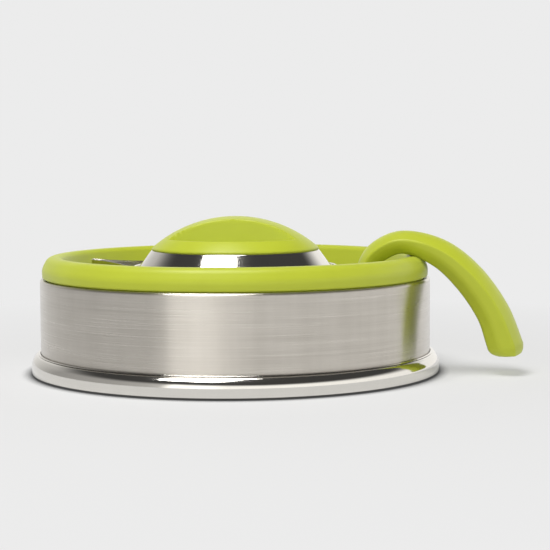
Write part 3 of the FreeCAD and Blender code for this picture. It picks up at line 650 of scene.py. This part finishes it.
def make_handle():
    """The handle: a smooth run through its stations, closed with a rounded end."""
    last = len(HANDLE_STATIONS) - 1
    rings = []
    for step in range(last * HANDLE_SLICES + 1):
        x, z, degrees, thick, half, ridge = handle_station(step / HANDLE_SLICES)
        rings.append(handle_ring(x, z, math.radians(degrees), thick, half, ridge))
    x, z, degrees, thick, half, ridge = HANDLE_STATIONS[-1]
    angle = math.radians(degrees)
    along = Vector((math.cos(angle), 0, math.sin(angle)))
    for step in range(1, 13):
        sweep = math.radians(step * 90 / 12)
        drop = 1 - math.cos(sweep)
        spot = Vector((x, 0, z)) + along * END_DEPTH * math.sin(sweep)
        shift = (END_ROUND_IN - END_ROUND_OUT) * drop / 2
        rings.append(handle_ring(
            spot.x, spot.z, angle, thick - (END_ROUND_IN + END_ROUND_OUT) * drop,
            half - END_ROUND_SIDE * drop, ridge, shift))
    dress(loft("handle_grip", rings, sharp=60), PLASTIC_LIME, "lime_grip", "collar", "handle")


# --------------------------------------------------------------------------------------------------
# Lid and knob


def make_lid():
    """Lid pressing with a flat top and flared skirt, its plug ring and its seal."""
    hole, top_rad, low_rad = 2.1, 37.1, 44.1
    shell = rounded([
        (hole, KNOB_LOW),
        (top_rad, KNOB_LOW, 0.8),
        (low_rad, LID_LOW, 0.3),
        (low_rad - 0.9, LID_LOW, 0.3),
        (top_rad - 0.5, KNOB_LOW - STEEL, 0.6),
        (hole, KNOB_LOW - STEEL),
    ])
    dress(lathe("lid_pressing", shell), POLISHED, "polished_steel", "lid", "lid_shell")
    plug_low, plug_rad = 36.5, 42.0
    plug = rounded([
        (plug_rad, plug_low, 0.3),
        (plug_rad, LID_LOW + 0.3, 0.3),
        (plug_rad - STEEL, LID_LOW + 0.9, 0.2),
        (plug_rad - STEEL, plug_low, 0.3),
    ], steps=4)
    dress(lathe("lid_plug", plug), FITTING, "fitting_steel", "lid", "lid_plug_ring")
    seal_in, seal_out = plug_rad + 0.02, 44.0
    seal = rounded([
        (seal_in, SEAT, 0.2),
        (seal_out, SEAT, 0.5),
        (seal_out, LID_LOW, 0.4),
        (seal_in, LID_LOW, 0.2),
    ], steps=5)
    dress(lathe("lid_seal_ring", seal), SEAL_GREY, "seal_silicone", "lid", "lid_seal")


def soft_min(first, second, blend):
    """The lower of two heights, with the edge between them rounded over."""
    share = min(max(0.5 + 0.5 * (second - first) / blend, 0.0), 1.0)
    return second + (first - second) * share - blend * share * (1 - share)


def soft_max(first, second, blend):
    """The higher of two heights, with the corner between them filled round."""
    return -soft_min(-first, -second, blend)


def knob_height(x, y):
    """Height of the knob's face: a dome, with a scoop on each side of the bar across its middle."""
    rise = KNOB_TOP - KNOB_EDGE
    sphere = (KNOB_RAD ** 2 + rise ** 2) / (2 * rise)
    dome = KNOB_TOP - sphere + math.sqrt(sphere ** 2 - x * x - y * y)
    reach = abs(y) - BAR_HALF - BAR_FLARE * (x / SCOOP_RAD) ** 4
    if reach <= -1.5:     # well inside the bar, where no scoop reaches
        return dome
    back = KNOB_TOP + 1.0 - SCOOP_SLOPE * (reach + 1.0)
    front = SCOOP_LIP + SCOOP_FRONT_SLOPE * (math.hypot(x, y) - SCOOP_RAD)
    floor = soft_max(front, SCOOP_FLOOR, SCOOP_FRONT_ROUND)
    return soft_min(dome, soft_max(back, floor, SCOOP_BACK_ROUND), SCOOP_EDGE_ROUND)


def make_knob():
    """The knob's face on a fine polar grid, with its rounded edge, flat underside and screw bore."""
    turn = math.radians(KNOB_TURN)
    around, rows = 360, 120
    edge, bore, depth = 0.35, 4.02, 7.1
    points = [(0, 0, knob_height(0, 0))]
    rings = []

    def ring(radius, height=None):
        """Adds a ring of points, on the knob's face unless a height is given."""
        first = len(points)
        for step in range(around):
            angle = 2 * math.pi * step / around
            x, y = radius * math.cos(angle), radius * math.sin(angle)
            z = knob_height(x, y) if height is None else height
            points.append((x * math.cos(turn) - y * math.sin(turn),
                           x * math.sin(turn) + y * math.cos(turn), z))
        rings.append(list(range(first, first + around)))

    for row in range(1, rows + 1):
        ring((KNOB_RAD - edge) * row / rows)
    ring(KNOB_RAD - 0.1, KNOB_EDGE - 0.02)
    ring(KNOB_RAD, KNOB_EDGE - 0.25)
    ring(KNOB_RAD, KNOB_LOW + 0.3)
    ring(KNOB_RAD - 0.09, KNOB_LOW + 0.09)
    ring(KNOB_RAD - 0.3, KNOB_LOW)
    ring(bore, KNOB_LOW)
    ring(bore, KNOB_LOW + depth)
    faces = [(0, rings[0][step], rings[0][(step + 1) % around]) for step in range(around)]
    for low, high in zip(rings, rings[1:]):
        for step in range(around):
            ahead = (step + 1) % around
            faces.append((low[step], high[step], high[ahead], low[ahead]))
    faces.append(tuple(rings[-1]))
    knob = face_out(add_mesh("knob_dome", points, faces), 50)
    dress(knob, PLASTIC_LIME, "lime_plastic", "lid", "lid_knob")


# --------------------------------------------------------------------------------------------------
# Frame nodes that keep their own shape


def dress_frame_nodes():
    """Finished materials for the fittings whose frame shapes are already right."""
    finishes = {
        "heat_spreader": ALUMINIUM,
        "rim_clamp_ring": FITTING,
        "collar_clamp_ring": FITTING,
        "handle_bracket": FITTING,
        "bracket_rivets": FITTING,
        "handle_screws": FITTING,
        "knob_insert": BRASS,
        "knob_washer": FITTING,
        "knob_screw": FITTING,
    }
    for name, material in finishes.items():
        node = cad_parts[name]
        for slot in node.material_slots:
            slot.material = material


# --------------------------------------------------------------------------------------------------
# Stage, light and camera

# The camera stands this far round towards the handle; lights are placed from where it stands.
CAMERA_TURN = 10.0
CAMERA_BACK = 0.7
CAMERA_UP = 0.0975
BACKGROUND = 0.838


def make_floor():
    """A broad pale floor with a painted contact shadow where the kettle meets it, that fades into the even
    background.
    """
    bpy.ops.mesh.primitive_circle_add(vertices=96, radius=6.0, fill_type="NGON", location=(0, 0, -0.0001))
    floor = bpy.context.object
    floor.name = "floor"
    nodes = Nodes("pale_floor")
    x, y, _ = nodes.place()[1]
    away = nodes.math("SQRT", nodes.math("ADD", nodes.math("MULTIPLY", x, x), nodes.math("MULTIPLY", y, y)))
    fade = nodes.spread(away, 0.13, 0.34, 0.45, 1.0)
    # Painted contact shadow: ambient occlusion darkens the floor's colour towards black round the kettle's
    # foot
    open_sky = nodes.add("ShaderNodeAmbientOcclusion", {"Distance": 0.008}, samples=16).outputs["AO"]
    shade = nodes.spread(open_sky, 0.5, 0.86, 0.14, 1.0)
    painted_shadow_black = (0.0, 0.0, 0.0)
    nodes.link(nodes.blend(shade, painted_shadow_black, (0.69, 0.695, 0.705)), "Base Color")
    nodes.set(Roughness=0.9, Specular_IOR_Level=0.0)
    # The floor's glow carries the same painted contact shadow
    glow = nodes.add("ShaderNodeEmission", {"Color": nodes.blend(shade, painted_shadow_black, (BACKGROUND,) * 3)})
    mix = nodes.add("ShaderNodeMixShader", {0: fade, 1: nodes.shader.outputs[0], 2: glow.outputs[0]})
    output = nodes.tree.nodes["Material Output"]
    nodes.tree.links.new(mix.outputs[0], output.inputs["Surface"])
    floor.data.materials.append(nodes.material)


# The studio round the kettle as its upright wall sees it: degrees to the right of the camera, and
# how bright the surroundings are there, up to the height where the dark ceiling starts.
SURROUNDINGS = (
    (-180, 1.05), (-150, 0.68), (-120, 0.34), (-70, 0.4), (-50, 0.5), (-42, 0.6), (-36, 1.75),
    (-14, 1.75), (-4, 1.35), (14, 1.05), (28, 0.82), (42, 0.66), (57, 0.7), (61, 0.0), (107, 0.0),
    (113, 1.25), (180, 1.0),
)
BRIGHTEST = 1.75
CEILING = 0.06
# The ceiling starts where a direction's upward part lies in this range, and higher on the left
CEILING_FROM, CEILING_FULL = 0.3, 0.6
LEFT_RISE = 0.1
LEFT_FROM, LEFT_FULL = 15, -50      # degrees to the right of the camera


def make_world():
    """Studio surroundings: panels and dark gaps round the horizon under a dark ceiling."""
    world = bpy.data.worlds.new("studio")
    bpy.context.scene.world = world
    world.use_nodes = True
    tree = world.node_tree
    tree.nodes.clear()

    def add(kind, inputs, **settings):
        node = tree.nodes.new(kind)
        for key, value in settings.items():
            setattr(node, key, value)
        for key, value in inputs.items():
            if isinstance(value, bpy.types.NodeSocket):
                tree.links.new(value, node.inputs[key])
            else:
                node.inputs[key].default_value = value
        return node

    toward = add("ShaderNodeTexCoord", {}).outputs["Generated"]
    turned = add("ShaderNodeVectorRotate", {"Vector": toward, "Angle": -math.radians(CAMERA_TURN)},
                 rotation_type="Z_AXIS").outputs[0]
    x, y, z = add("ShaderNodeSeparateXYZ", {0: turned}).outputs
    back = add("ShaderNodeMath", {0: y, 1: -1.0}, operation="MULTIPLY").outputs[0]
    aside = add("ShaderNodeMath", {0: x, 1: back}, operation="ARCTAN2").outputs[0]
    share = add("ShaderNodeMapRange", {"Value": aside, "From Min": -math.pi, "From Max": math.pi})
    ramp = add("ShaderNodeValToRGB", {"Fac": share.outputs[0]})
    for index, (degrees, level) in enumerate(SURROUNDINGS):
        stop = ramp.color_ramp.elements[index] if index < 2 else ramp.color_ramp.elements.new(0.5)
        stop.position = (degrees + 180) / 360
        stop.color = (level / BRIGHTEST,) * 3 + (1,)
    lift = add("ShaderNodeMapRange", {
        "Value": aside, "From Min": math.radians(LEFT_FULL), "From Max": math.radians(LEFT_FROM),
        "To Min": LEFT_RISE, "To Max": 0.0,
    })
    lowered = add("ShaderNodeMath", {0: z, 1: lift.outputs[0]}, operation="SUBTRACT").outputs[0]
    height = add("ShaderNodeMapRange", {
        "Value": lowered, "From Min": CEILING_FROM, "From Max": CEILING_FULL, "To Min": 1.0, "To Max": 0.0,
    }, interpolation_type="SMOOTHSTEP")
    around = add("ShaderNodeMath", {0: ramp.outputs[0], 1: height.outputs[0]}, operation="MULTIPLY")
    level = add("ShaderNodeMapRange", {"Value": around.outputs[0], "To Min": CEILING, "To Max": BRIGHTEST})
    room = add("ShaderNodeBackground", {"Color": (1.0, 0.985, 0.955, 1), "Strength": level.outputs[0]})
    plain = add("ShaderNodeBackground", {"Color": (BACKGROUND,) * 3 + (1,)})
    sight = add("ShaderNodeLightPath", {}).outputs["Is Camera Ray"]
    mix = add("ShaderNodeMixShader", {0: sight, 1: room.outputs[0], 2: plain.outputs[0]})
    add("ShaderNodeOutputWorld", {"Surface": mix.outputs[0]})


def from_camera(x, y, z):
    """A place given as seen by the camera: right, away and up, turned into the kettle's frame."""
    return Matrix.Rotation(math.radians(CAMERA_TURN), 3, "Z") @ Vector((x, y, z))


def area_light(name, place, aim, width, height, power, colour=(1, 1, 1)):
    light = bpy.data.lights.new(name, "AREA")
    light.shape = "RECTANGLE"
    light.size, light.size_y = width, height
    light.energy = power
    light.color = colour
    lamp = bpy.data.objects.new(name, light)
    bpy.context.scene.collection.objects.link(lamp)
    lamp.location = from_camera(*place)
    lamp.rotation_mode = "QUATERNION"
    lamp.rotation_quaternion = (from_camera(*aim) - lamp.location).to_track_quat("-Z", "Y")


def make_lights():
    """One broad soft box overhead, to the left and a little in front."""
    area_light("overhead_box", (-0.27, -0.30, 1.5), (0, 0, 0.03), 0.7, 0.8, 23.0, (1, 0.99, 0.97))


def make_camera():
    camera = bpy.data.cameras.new("camera")
    camera.lens = 103.2
    camera.sensor_width = 36.0
    camera.clip_start = 0.01
    eye = bpy.data.objects.new("camera", camera)
    bpy.context.scene.collection.objects.link(eye)
    aside, down, roll = math.radians(1.44), math.radians(4.54), math.radians(0.3)
    eye.matrix_world = (
        Matrix.Rotation(math.radians(CAMERA_TURN), 4, "Z")
        @ Matrix.Translation((0, -CAMERA_BACK, CAMERA_UP))
        @ Matrix.Rotation(-aside, 4, "Z")
        @ Matrix.Rotation(math.pi / 2 - down, 4, "X")
        @ Matrix.Rotation(-roll, 4, "Z"))
    bpy.context.scene.camera = eye


make_pot()
make_base_cap()
make_outer_ring()
make_fold("silicone_outer_fold", FOLD_TOP, FOLD_LOW, 28, "bellows_outer_fold")
make_mid_ring()
make_fold("silicone_inner_fold", INNER_FOLD_TOP, INNER_FOLD_LOW, 16,
          "bellows_inner_fold")
make_top_cuff()
make_collar()
make_spout()
make_handle()
make_lid()
make_knob()
dress_frame_nodes()
make_floor()
make_world()
make_lights()
make_camera()
bpy.context.scene.view_settings.view_transform = "Standard"
